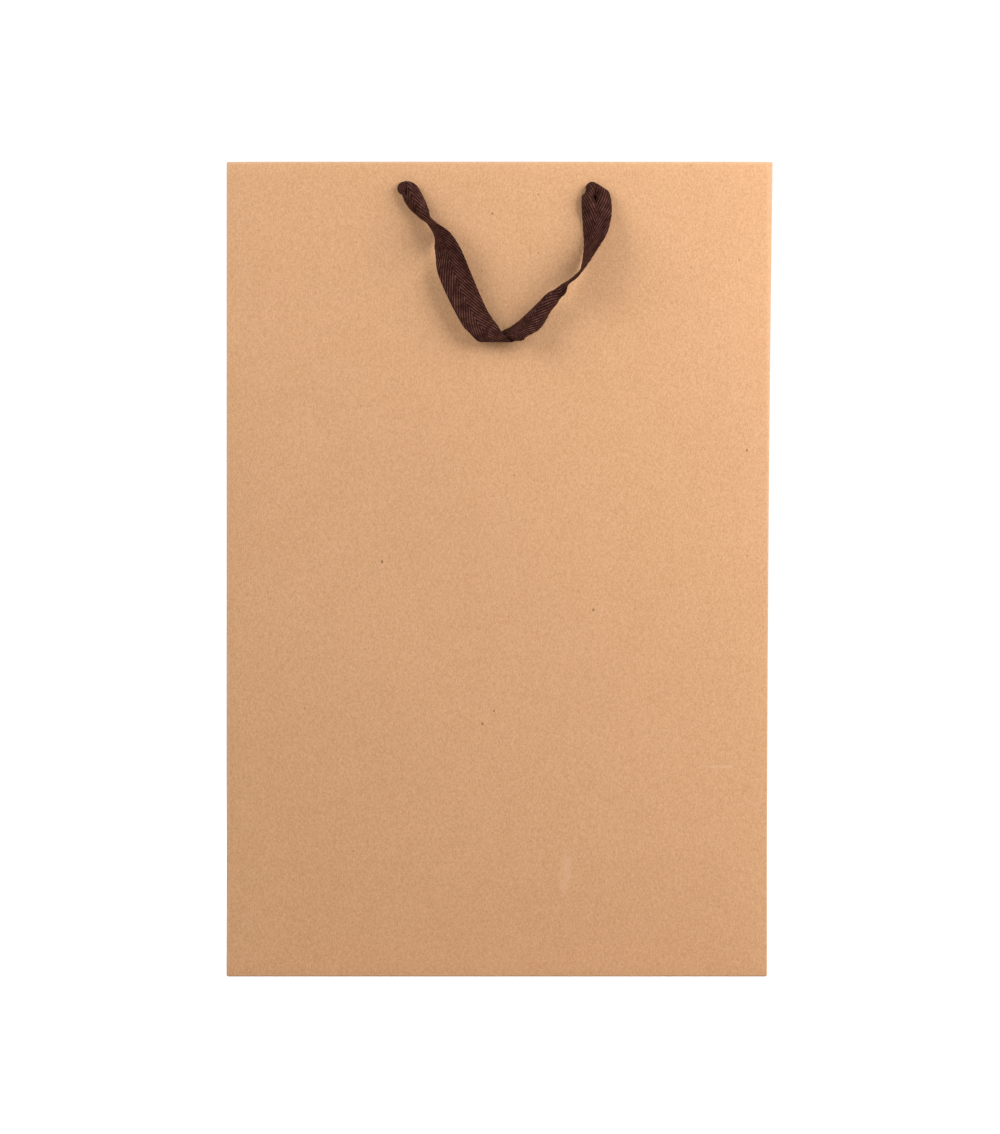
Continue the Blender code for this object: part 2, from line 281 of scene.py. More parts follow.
# the herringbone's relief: ribs that lean away from the tape's middle line
def ribHeight(along, across):
    lean = tape["ribLean"]
    phase = (along * math.sin(lean) - np.abs(across) * math.cos(lean)) / tape["ribPitch"]
    wave = 0.5 + 0.5 * np.cos(2 * math.pi * phase)
    spine = 1 - tape["spineDip"] * np.exp(-((across / tape["spineWidth"]) ** 2))
    return wave ** tape["ribSharpness"] * spine


def unit(rows):
    return rows / np.linalg.norm(rows, axis=-1, keepdims=True)


# a closed strip along rows of centre, width direction, curl, slant and width
def tapeStrip(name, rows, marks=()):
    line, along = evenlySpaced(rows, tape["spacing"])
    centres = line[:, :3]
    ahead = unit(np.gradient(centres, axis=0))
    ways = unit(line[:, 3:6])
    upright = unit(ways - ahead * np.sum(ways * ahead, axis=1)[:, None])
    ways = unit(upright + (ways - upright) * line[:, 7:8])
    faceOut = unit(np.cross(ahead, ways))
    slantCos = np.sum(ways * ahead, axis=1)[:, None]
    slantSin = np.maximum(np.sqrt(1 - slantCos**2), tape["leastSlant"])
    columns, count = tape["columns"], len(line)
    shares = np.linspace(-1, 1, columns)[None, :]
    curl, width = line[:, 6:7], line[:, 8:9] * (1 - tape["foldGather"] * line[:, 7:8])
    curl = np.where(np.abs(curl) < tape["leastCurl"], tape["leastCurl"], curl)
    radius, turn = width / curl, shares * curl / 2
    sideways = radius * np.sin(turn) / slantSin
    outward = radius * (np.sin(curl / 2) / (curl / 2) - np.cos(turn))
    across = shares * width / 2
    lengthAlong = along[:, None] + across * slantCos / slantSin
    for mark in marks:
        fromEnd, fromMiddle = mark["place"]
        farEnd = mark["end"] == 1
        offAlong = lengthAlong - (along[-1] - fromEnd if farEnd else fromEnd)
        toHole = offAlong if farEnd else -offAlong
        # a gather is shorter towards its hole
        reach = mark["size"][0] * np.where(toHole > 0, tape["gatherShort"], 1.0)
        dip = np.exp(-((offAlong / reach) ** 2) - ((across - fromMiddle) / mark["size"][1]) ** 2)
        outward = outward + (mark["depth"] if farEnd else -mark["depth"]) * dip
    edge = 1 - np.clip((width / 2 - np.abs(across)) / tape["edgeRound"], 0, 1)
    edge = np.sqrt(np.maximum(1 - edge**2, tape["edgeFlat"] ** 2))
    half = edge * (tape["thickness"] / 2 + tape["ribHeight"] * (ribHeight(lengthAlong, across) - 0.5))
    middle = centres[:, None, :] + ways[:, None, :] * sideways[..., None]
    middle = middle + faceOut[:, None, :] * outward[..., None]
    # the skin's own direction at each point, from its neighbours
    alongWay = np.gradient(middle, axis=0)
    acrossWay = np.gradient(middle, axis=1)
    normal = unit(np.cross(alongWay, acrossWay))
    top = (middle + normal * half[..., None]).reshape(-1, 3)
    under = (middle - normal * half[..., None]).reshape(-1, 3)
    piece = newPiece(name, np.concatenate([top, under]).tolist(), slabFaces(count, columns))
    uv = piece.data.uv_layers.new(name="tapeUV")
    for loop in piece.data.loops:
        row, column = divmod(loop.vertex_index % (count * columns), columns)
        uv.data[loop.index].uv = (across[row, column] / uvUnit, lengthAlong[row, column] / uvUnit)
    return piece, centres


# the front loop's route in the frame; the back's is the same turned half round
def loopRows():
    rows = []
    for (across, proud, drop), way, curl, slant in loopRoute:
        width = tape["width"]
        for atAcross, atDrop, share, reach in pinches:
            far = math.hypot(across - atAcross, drop - atDrop)
            width *= 1 - share * math.exp(-((far / reach) ** 2))
        rows.append([
            across * mm,
            -bag["halfDepth"] - bag["hingeProud"] - proud * mm,
            bag["holeHeight"] - drop * mm,
            way[0], -way[1], way[2],
            curl,
            slant,
            width,
        ])
    return throughPoints(rows, 12)


def turnedRound(rows):
    turned = rows.copy()
    turned[:, [0, 1, 3, 4]] *= -1
    return turned


def makeHandles():
    handles = []
    for wall, sign in (("front", 1), ("back", -1)):
        rows = loopRows() if sign > 0 else turnedRound(loopRows())
        handle, centres = tapeStrip(wall + "_tape_loop", rows, gathers)
        length = float(np.linalg.norm(np.diff(centres, axis=0), axis=1).sum())
        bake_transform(handle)
        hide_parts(wall + "_handle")
        tuple(centres[0])
        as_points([tuple(p) for p in centres[::3]] + [tuple(centres[-1])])
        handles.append(handle)
        print(wall, "tape loop", round(length * 1000), "mm")
    return handles


handles = makeHandles()


# the paper sheet's shape: every layer goes through the same bend, so that they stay together

sheetShape = {
    "cornerRound": 0.9 * mm,
    "rimRound": 0.55 * mm,
    "gussetPush": 3.1 * mm,  # the bottom board still passes between the gussets
    "bow": 1.1 * mm,
    "ripple": 0.5 * mm,
    "rippleSize": 85 * mm,
    "edgeFall": 0.9 * mm,  # how far each wall falls back towards its upright folds
    "edgeFallWidth": 26 * mm,
    "rimLean": 0.6 * mm,  # how far the doubled rim leans back over its last few millimetres
    "rimLeanHeight": 7 * mm,
    "flareLow": -1.3 * mm,  # how far the right side stands out of square at the foot and at the rim
    "flareHigh": 1.5 * mm,
    "creaseDepth": 0.35 * mm,
    "creaseWidth": 1.1 * mm,
    "creaseSoft": 0.02,  # how soft the gusset's fold is at its middle, as a share of its depth
    "footRound": 0.9 * mm,
    "firmHeight": 60 * mm,  # the glued bottom holds the walls straight up to about here
    "wallReach": (20 * mm, 4 * mm),  # how far in from a wall its bend fades in, and where it is full
    "sideReach": (30 * mm, 4 * mm),
    "rimRows": 8,
    "liningRows": 12,
    "wallColumns": 66,
    "gussetColumns": 40,
    "rows": 92,
}


# a point of the flat, square bag moved to where the standing one has it
def bent(x, y, z):
    halfWidth, halfDepth, height = bag["halfWidth"], bag["halfDepth"], bag["height"]
    up = z / height
    wallStart, wallFull = sheetShape["wallReach"]
    sideStart, sideFull = sheetShape["sideReach"]
    nearWall = smoothStep(abs(y), halfDepth - wallStart, halfDepth - wallFull)
    nearSide = smoothStep(abs(x), halfWidth - sideStart, halfWidth - sideFull)
    firm = smoothStep(z, 0, sheetShape["firmHeight"])
    wallShare = max(1 - (x / halfWidth) ** 2, 0)
    sideShare = max(1 - abs(y) / halfDepth, 0)
    out = math.copysign(1, y)
    moveY = out * sheetShape["bow"] * wallShare * firm * (1 - 0.45 * up) * nearWall
    fall = max(1 - (halfWidth - abs(x)) / sheetShape["edgeFallWidth"], 0) ** 2
    lean = max(1 - (height - z) / sheetShape["rimLeanHeight"], 0) ** 1.5
    moveY -= out * (sheetShape["edgeFall"] * fall * firm + sheetShape["rimLean"] * lean) * nearWall
    spot = Vector((x, y * 0.6, z)) / sheetShape["rippleSize"]
    moveY += sheetShape["ripple"] * noise.noise(spot) * firm * nearWall
    # the gussets fall in along their centre crease, from the bottom triangle's tip upwards
    above = smoothStep(z, halfDepth * 0.7, height)
    soft = sheetShape["creaseSoft"]
    crease = math.sqrt(sideShare**2 + soft**2) - soft
    push = sheetShape["gussetPush"] * (1 - (1 - crease) ** 1.15)
    moveX = -math.copysign(1, x) * push * above * nearSide
    sideRipple = sheetShape["ripple"] * 0.8 * noise.noise(spot + Vector((9, 3, 1)))
    moveX += sideRipple * firm * nearSide * sideShare
    spread = sheetShape["flareLow"] + (sheetShape["flareHigh"] - sheetShape["flareLow"]) * up**2
    moveX += spread * smoothStep(x, -halfWidth, halfWidth)
    return (x + moveX, y + moveY, z)


# how deep the gusset's centre crease dents the sheet there
def groove(x, y, z):
    if abs(x) < bag["halfWidth"] - 2 * mm or z < bag["halfDepth"] * 0.9:
        return 0.0
    return sheetShape["creaseDepth"] * math.exp(-((y / sheetShape["creaseWidth"]) ** 2))


# points round the bag at one height, anticlockwise from the front left corner
def ringPoints(wallInset, sideInset, z):
    halfWidth, halfDepth = bag["halfWidth"] - sideInset, bag["halfDepth"] - wallInset
    corner = max(sheetShape["cornerRound"] - min(wallInset, sideInset), 0.3 * mm)
    wall = np.linspace(-1, 1, sheetShape["wallColumns"])
    # more points near the gusset's centre crease and near the corners
    even = np.linspace(-1, 1, sheetShape["gussetColumns"])
    side = np.sign(even) * (0.45 * np.abs(even) + 0.55 * np.abs(even) ** 2.2)
    points = []
    for quarter in range(4):
        longWay = quarter % 2 == 0
        shares = wall if longWay else side
        turn = quarter * math.pi / 2
        straight = (halfWidth if longWay else halfDepth) - corner
        offset = halfDepth if longWay else halfWidth
        for share in shares:
            points.append(turned2d(share * straight, -offset, turn))
        for step in (1, 2, 3):
            angle = -math.pi / 2 + step * math.pi / 8
            points.append(turned2d(
                straight + corner * math.cos(angle), -offset + corner + corner * math.sin(angle), turn,
            ))
    return [(x, y, z) for x, y in points]


def turned2d(x, y, turn):
    c, s = round(math.cos(turn)), round(math.sin(turn))
    return x * c - y * s, x * s + y * c


# the whole folded sheet: up the outside, over the rim and down the lining
def makeSheet():
    height, paper = bag["height"], bag["paper"]
    wallFull, sideFull = bag["liningInset"], bag["sideLiningInset"]
    foot = sheetShape["footRound"]
    rings = []
    for angle in np.radians((0, 22, 45, 67, 90)):
        tuck = foot * (1 - math.sin(angle))
        rings.append((tuck, tuck, foot * (1 - math.cos(angle))))
    rimRound = sheetShape["rimRound"]
    for row in range(1, sheetShape["rows"] + 1):
        rings.append((0, 0, foot + (height - rimRound - foot) * row / sheetShape["rows"]))
    for step in range(1, sheetShape["rimRows"]):
        angle = math.pi * step / sheetShape["rimRows"]
        over = (1 - math.cos(angle)) / 2
        rings.append((wallFull * over, sideFull * over, height - rimRound + rimRound * math.sin(angle)))
    liningDepth = bag["rimDepth"] - rimRound
    for row in range(sheetShape["liningRows"] + 1):
        drop = liningDepth * row / sheetShape["liningRows"]
        rings.append((wallFull, sideFull, height - rimRound - drop))
    verts = []
    for wallInset, sideInset, z in rings:
        for x, y, z in ringPoints(wallInset, sideInset, z):
            bentX, bentY, bentZ = bent(x, y, z)
            bentX -= math.copysign(groove(x, y, z), x)
            verts.append((bentX, bentY, bentZ))
    columns = len(verts) // len(rings)
    sheet = newPiece("kraft_sheet", verts, gridFaces(len(rings), columns, closed=True))
    thicken = sheet.modifiers.new("paper", "SOLIDIFY")
    thicken.thickness = paper
    thicken.offset = -1
    return sheet


# cuts the four handle holes through a piece and leaves it a plain mesh
def punchHoles(piece, radius, wallsDeep=8 * mm):
    punches = []
    for sign in (-1, 1):
        for across in (-1, 1):
            bm = bmesh.new()
            bmesh.ops.create_cone(
                bm, cap_ends=True, segments=40, radius1=radius, radius2=radius, depth=wallsDeep,
            )
            mesh = bpy.data.meshes.new("punch")
            bm.to_mesh(mesh)
            bm.free()
            punch = bpy.data.objects.new("punch", mesh)
            bpy.context.scene.collection.objects.link(punch)
            punch.rotation_euler.x = math.pi / 2
            punch.location = (across * bag["holeAcross"], sign * bag["halfDepth"], bag["holeHeight"])
            cut = piece.modifiers.new("hole", "BOOLEAN")
            cut.operation = "DIFFERENCE"
            cut.solver = "EXACT"
            cut.object = punch
            punches.append(punch)
    bpy.context.view_layer.update()
    evaluated = piece.evaluated_get(bpy.context.evaluated_depsgraph_get())
    finished = bpy.data.meshes.new_from_object(evaluated)
    piece.modifiers.clear()
    piece.data = finished
    for punch in punches:
        bpy.data.objects.remove(punch, do_unlink=True)
    finished.shade_smooth()
    finished.set_sharp_from_angle(angle=math.radians(50))


kraftSheet = makeSheet()
punchHoles(kraftSheet, bag["holeRadius"])
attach(kraftSheet, "bag")
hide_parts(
    "front_panel", "back_panel", "front_turn_in", "back_turn_in",
    "right_gusset_front_half", "right_gusset_rear_half",
    "left_gusset_front_half", "left_gusset_rear_half",
    "right_turn_in_front_half", "right_turn_in_rear_half",
    "left_turn_in_front_half", "left_turn_in_rear_half",
)
print("kraft sheet made", len(kraftSheet.data.polygons), "faces")


# a thin upright strip between two corners, bent with the sheet
def flatStrip(name, low, high, columns, rows):
    verts = []
    for y in (low[1], high[1]):
        for z in np.linspace(low[2], high[2], rows):
            for x in np.linspace(low[0], high[0], columns):
                verts.append(bent(x, y, z))
    return newPiece(name, verts, slabFaces(rows, columns), smooth=False)


def makeStiffeners():
    made = []
    for wall, node in (("front", "front_top_card"), ("back", "back_top_card")):
        low, high = boxOf(node)
        card = flatStrip(wall + "_card_strip", low, high, 60, 8)
        punchHoles(card, bag["holeRadius"])
        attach(card, "bag")
        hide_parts(node)
        made.append(card)
    return made


cards = makeStiffeners()
seamFlap = flatStrip("glued_seam_flap", seamLow, seamHigh, 6, 60)
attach(seamFlap, "bag")
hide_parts("side_seam_flap")
print("stiffeners and seam made")


# a flat piece of the frame, bent with the sheet
def bentCopy(node, name, edge):
    source = frame["nodes"][node]
    bm = bmesh.new()
    bm.from_mesh(source.data)
    bm.transform(source.matrix_world)
    bmesh.ops.dissolve_limit(bm, angle_limit=math.radians(1), verts=bm.verts[:], edges=bm.edges[:])
    bmesh.ops.bevel(bm, geom=bm.edges[:], offset=edge, segments=2, affect="EDGES", profile=0.5)
    bmesh.ops.triangulate(bm, faces=bm.faces[:])
    for vert in bm.verts:
        vert.co = bent(*vert.co)
    mesh = bpy.data.meshes.new(name)
    bm.to_mesh(mesh)
    bm.free()
    piece = bpy.data.objects.new(name, mesh)
    bpy.context.scene.collection.objects.link(piece)
    return piece


bottomFlaps = []
for side in ("left", "right", "front", "back"):
    flap = bentCopy(side + "_bottom_flap", side + "_folded_flap", 0.08 * mm)
    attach(flap, "bag")
    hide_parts(side + "_bottom_flap")
    bottomFlaps.append(flap)
print("bottom flaps made")


# knots: the tape's ends, gathered and knotted behind the lining

knot = {
    "steps": 24,
    "spacing": 0.35 * mm,
    "sides": 26,
    "pleatPitch": 1.1 * mm,
    "wrinklePitch": 0.9 * mm,
    "reach": 5.2 * mm,
    "depth": 2.1 * mm,
    "bundleWidth": 2.5 * mm,
    "bundleHeight": 1.5 * mm,
    "inset": 5.9 * mm,
    "tailTop": -8.2 * mm,
    "tailLength": 15 * mm,
    "tailCurl": 3.6,  # gathered where it leaves the knot, flatter at its cut end
    "tailEndCurl": 0.35,
}


# an overhand knot's middle line about the hole's centre: across, inwards, up
def knotPath():
    points = [(0, 0.4 * mm, 0), (0, 2.4 * mm, 0.4 * mm)]
    # the trefoil is left open, because its two ends run out to the hole and down to the tail
    for step in range(3, knot["steps"] - 2):
        t = step / knot["steps"] * 2 * math.pi
        points.append((
            knot["reach"] * (math.sin(t) + 2 * math.sin(2 * t)) / 3,
            knot["inset"] + knot["depth"] * math.sin(3 * t),
            knot["reach"] * (math.cos(t) - 2 * math.cos(2 * t)) / 3,
        ))
    points.append((0.8 * mm, knot["inset"], -6.5 * mm))
    points.append((0.4 * mm, knot["inset"] + 0.6 * mm, -9.5 * mm))
    return throughPoints(points, 6)


# a gathered tape bundle along a path: an oval section with pleats
def sweptBundle(name, path):
    path, along = evenlySpaced(path, knot["spacing"])
    ahead = np.gradient(path, axis=0)
    ahead /= np.linalg.norm(ahead, axis=1)[:, None]
    side = np.array([1.0, 0.0, 0.0])
    sides, verts = knot["sides"], []
    for number, centre in enumerate(path):
        side = side - ahead[number] * (side @ ahead[number])
        side /= np.linalg.norm(side)
        other = np.cross(ahead[number], side)
        for step in range(sides):
            angle = 2 * math.pi * step / sides
            pleat = 1 + 0.10 * math.cos(5 * angle + along[number] / knot["pleatPitch"])
            pleat += 0.05 * math.cos(2 * math.pi * along[number] / knot["wrinklePitch"] + 3 * angle)
            verts.append(
                centre
                + side * math.cos(angle) * knot["bundleWidth"] * pleat
                + other * math.sin(angle) * knot["bundleHeight"] * pleat
            )
    faces = gridFaces(len(path), sides, closed=True)
    faces.append(tuple(range(sides - 1, -1, -1)))
    faces.append(tuple((len(path) - 1) * sides + s for s in range(sides)))
    return newPiece(name, verts, faces)


def makeKnots():
    made = []
    for wall, sign in (("front", 1), ("back", -1)):
        for end, across in (("left", -1), ("right", 1)):
            lump = sweptBundle(f"{wall}_{end}_knot_bundle", knotPath())
            rows = []
            for share in np.linspace(0, 1, 9):
                rows.append([
                    (0.4 + 0.8 * share * across) * mm,
                    knot["inset"] + (0.6 - 1.2 * share) * mm,
                    knot["tailTop"] - knot["tailLength"] * share,
                    1.0, 0.25 * math.sin(2.4 * share + across), 0.0,
                    knot["tailCurl"] * (1 - share) ** 1.4 + knot["tailEndCurl"],
                    0.0,
                    tape["width"],
                ])
            tail, _ = tapeStrip(f"{wall}_{end}_tape_tail", throughPoints(rows, 6))
            for piece in (lump, tail):
                piece.rotation_euler.z = 0 if sign > 0 else math.pi
                piece.location = (across * bag["holeAcross"], -sign * bag["halfDepth"], bag["holeHeight"])
                bpy.context.view_layer.update()
                piece.data.transform(piece.matrix_world)
                piece.matrix_world.identity()
                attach(piece, "bag")
                made.append(piece)
            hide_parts(f"{wall}_{end}_knot")
    return made


knots = makeKnots()
print("knots made")


# materials; nodeMaker gives shorthands for adding and wiring nodes in one tree

def nodeMaker(tree):
    def add(kind, **values):
        node = tree.nodes.new(kind)
        for key, value in values.items():
            if isinstance(value, bpy.types.NodeSocket):
                tree.links.new(value, node.inputs[key.replace("_", " ")])
            elif key.replace("_", " ") in node.inputs:
                node.inputs[key.replace("_", " ")].default_value = value
            else:
                setattr(node, key, value)
        return node

    def math2(operation, first, second=0.5):
        node = tree.nodes.new("ShaderNodeMath")
        node.operation = operation
        for index, value in enumerate((first, second)):
            if isinstance(value, bpy.types.NodeSocket):
                tree.links.new(value, node.inputs[index])
            else:
                node.inputs[index].default_value = value
        return node.outputs[0]

    def ramp(value, low, high, outLow=0.0, outHigh=1.0):
        node = tree.nodes.new("ShaderNodeMapRange")
        node.interpolation_type = "SMOOTHSTEP"
        tree.links.new(value, node.inputs["Value"])
        for key, number in (("From Min", low), ("From Max", high), ("To Min", outLow), ("To Max", outHigh)):
            node.inputs[key].default_value = number
        return node.outputs["Result"]

    def mixed(amount, first, second, blend="MIX"):
        node = tree.nodes.new("ShaderNodeMix")
        node.data_type = "RGBA"
        node.blend_type = blend
        if isinstance(amount, bpy.types.NodeSocket):
            tree.links.new(amount, node.inputs["Factor"])
        else:
            node.inputs["Factor"].default_value = amount
        for socket, value in ((node.inputs[6], first), (node.inputs[7], second)):
            if isinstance(value, bpy.types.NodeSocket):
                tree.links.new(value, socket)
            else:
                socket.default_value = value
        return node.outputs[2]

    return add, math2, ramp, mixed


def newGroup(name, inputs, outputs):
    group = bpy.data.node_groups.new(name, "ShaderNodeTree")
    for socketName, kind, value in inputs:
        socket = group.interface.new_socket(name=socketName, in_out="INPUT", socket_type=kind)
        if value is not None:
            socket.default_value = value
    for socketName, kind in outputs:
        group.interface.new_socket(name=socketName, in_out="OUTPUT", socket_type=kind)
    return group, group.nodes.new("NodeGroupInput"), group.nodes.new("NodeGroupOutput")


# paper pulp: cloudy mottle, short fibres, dark shives and a fine tooth
def makePulpGroup():
    group, given, made = newGroup(
        "paperPulp",
        [("Vector", "NodeSocketVector", None), ("Cloud Size", "NodeSocketFloat", 55.0),
         ("Fibre Size", "NodeSocketFloat", 1900.0), ("Fleck Size", "NodeSocketFloat", 260.0)],
        [("Mottle", "NodeSocketFloat"), ("Fibre", "NodeSocketFloat"),
         ("Flecks", "NodeSocketFloat"), ("Height", "NodeSocketFloat")],
    )
    add, math2, ramp, mixed = nodeMaker(group)
    where = given.outputs["Vector"]
    cloudSize, fibreSize = given.outputs["Cloud Size"], given.outputs["Fibre Size"]
    cloud = add("ShaderNodeTexNoise", Vector=where, Scale=cloudSize, Detail=6.0, Roughness=0.62)
    fine = add("ShaderNodeTexNoise", Vector=where, Scale=fibreSize, Detail=3.0, Roughness=0.6)
    # fibres: noise drawn out one way, then the other
    fibres = []
    for stretch, turn in (((1.0, 1.0, 0.40), 0.06), ((0.85, 1.0, 1.0), -0.7)):
        drawn = add("ShaderNodeMapping", Vector=where, Scale=stretch, Rotation=(0.1, turn, 0.2))
        noiseNode = add(
            "ShaderNodeTexNoise", Vector=drawn.outputs[0], Scale=fibreSize, Detail=2.0, Distortion=0.6,
        )
        fibres.append(noiseNode.outputs["Fac"])
    fibre = math2("ADD", fibres[0], fibres[1])
    cells = add("ShaderNodeTexVoronoi", Vector=where, Scale=given.outputs["Fleck Size"], Randomness=1.0)
    rare = add("ShaderNodeSeparateColor", Color=cells.outputs["Color"])
    chosen = math2("GREATER_THAN", rare.outputs[0], 0.985)
    spot = ramp(cells.outputs["Distance"], 0.04, 0.17, 1.0, 0.0)
    group.links.new(ramp(cloud.outputs["Fac"], 0.30, 0.70), made.inputs["Mottle"])
    group.links.new(ramp(fibre, 0.70, 1.30), made.inputs["Fibre"])
    group.links.new(math2("MULTIPLY", spot, chosen), made.inputs["Flecks"])
    height = math2("ADD", math2("MULTIPLY", fine.outputs["Fac"], 0.6), math2("MULTIPLY", fibre, 0.4))
    group.links.new(height, made.inputs["Height"])
    return group


# where the sheet is folded: its four upright edges, its rim and foot, and the gussets' creases
def makeFoldGroup():
    group, given, made = newGroup(
        "foldMarks",
        [("Vector", "NodeSocketVector", None), ("Half Width", "NodeSocketFloat", 0.13),
         ("Half Depth", "NodeSocketFloat", 0.055), ("Height", "NodeSocketFloat", 0.39),
         ("Wear Width", "NodeSocketFloat", 0.0012)],
        [("Edges", "NodeSocketFloat"), ("Creases", "NodeSocketFloat"), ("Base Crease Shade", "NodeSocketFloat")],
    )
    add, math2, ramp, mixed = nodeMaker(group)
    parts = add("ShaderNodeSeparateXYZ", Vector=given.outputs["Vector"]).outputs
    across, deep, up = math2("ABSOLUTE", parts[0]), math2("ABSOLUTE", parts[1]), parts[2]
    fromSide = math2("SUBTRACT", given.outputs["Half Width"], across)
    fromWall = math2("SUBTRACT", given.outputs["Half Depth"], deep)
    width = given.outputs["Wear Width"]
    corner = math2("MAXIMUM", fromSide, fromWall)
    rim = math2("SUBTRACT", given.outputs["Height"], up)
    edge = math2("MINIMUM", corner, math2("MINIMUM", rim, up))
    share = math2("DIVIDE", edge, width)
    group.links.new(ramp(share, 0.2, 1.6, 1.0, 0.0), made.inputs["Edges"])
    # the bottom triangle's two slanting creases and the centre crease above its tip
    slant = math2("ABSOLUTE", math2("SUBTRACT", math2("ADD", deep, up), given.outputs["Half Depth"]))
    above = math2("GREATER_THAN", up, given.outputs["Half Depth"])
    below = math2("SUBTRACT", 1.0, above)
    slantMark = math2("MULTIPLY", ramp(math2("DIVIDE", slant, width), 0.1, 1.1, 1.0, 0.0), below)
    centreMark = math2("MULTIPLY", ramp(math2("DIVIDE", deep, width), 0.1, 1.1, 1.0, 0.0), above)
    # the bottom crease's height all round the bag; on its own this mask only gives painted crease shade
    level = math2("ABSOLUTE", math2("SUBTRACT", up, given.outputs["Half Depth"]))
    levelMark = ramp(math2("DIVIDE", level, width), 0.05, 0.8, 1.0, 0.0)
    group.links.new(levelMark, made.inputs["Base Crease Shade"])
    marks = math2("MAXIMUM", math2("MAXIMUM", slantMark, centreMark), levelMark)
    onGusset = ramp(fromSide, 0.007, 0.009, 1.0, 0.0)
    offWall = ramp(fromWall, 0.0005, 0.0015, 0.0, 1.0)
    marks = math2("MULTIPLY", marks, math2("MULTIPLY", onGusset, offWall))
    group.links.new(marks, made.inputs["Creases"])
    return group


pulpGroup = makePulpGroup()
foldGroup = makeFoldGroup()

kraft = {
    "colour": (0.690, 0.382, 0.197, 1.0),
    "pale": (0.785, 0.465, 0.262, 1.0),
    "dark": (0.590, 0.310, 0.148, 1.0),
    "fleck": (0.22, 0.115, 0.055, 1.0),
    "scuff": (0.83, 0.575, 0.375, 1.0),
    "roughness": 0.82,
    "cloudSize": 62.0,
    "cloudShare": 0.20,
    "darkFibres": 0.72,
    "paleFibres": 0.70,
    "fleckShare": 0.55,
    "wornFolds": 0.30,
    # painted shade in the gusset creases
    "creaseShade": 0.35,
    # painted shade along the bottom crease's line
    "baseCreaseShade": 0.16,
    "scuffShare": 0.26,
    "shiveShare": 0.75,
    "toothDepth": 0.05 * mm,
    "creaseDip": 0.28 * mm,
}

# rubbed patches on the front: across, up, half width, half height, lean
scuffs = ((0.0320, 0.0490, 0.0030, 0.0115, -0.05), (0.1055, 0.1005, 0.0075, 0.0009, 0.0))
# the few dark shives that stand out on the front: across, up, size
shives = ((-0.0555, 0.1985, 0.0007), (0.1190, 0.2518, 0.0006), (0.0455, 0.1755, 0.0006),
          (-0.0076, 0.1210, 0.0006), (-0.0020, 0.1272, 0.0005), (-0.0028, 0.3650, 0.0005))


def newMaterial(name):
    material = bpy.data.materials.new(name)
    material.use_nodes = True
    tree = material.node_tree
    shader = tree.nodes["Principled BSDF"]
    return material, tree, shader


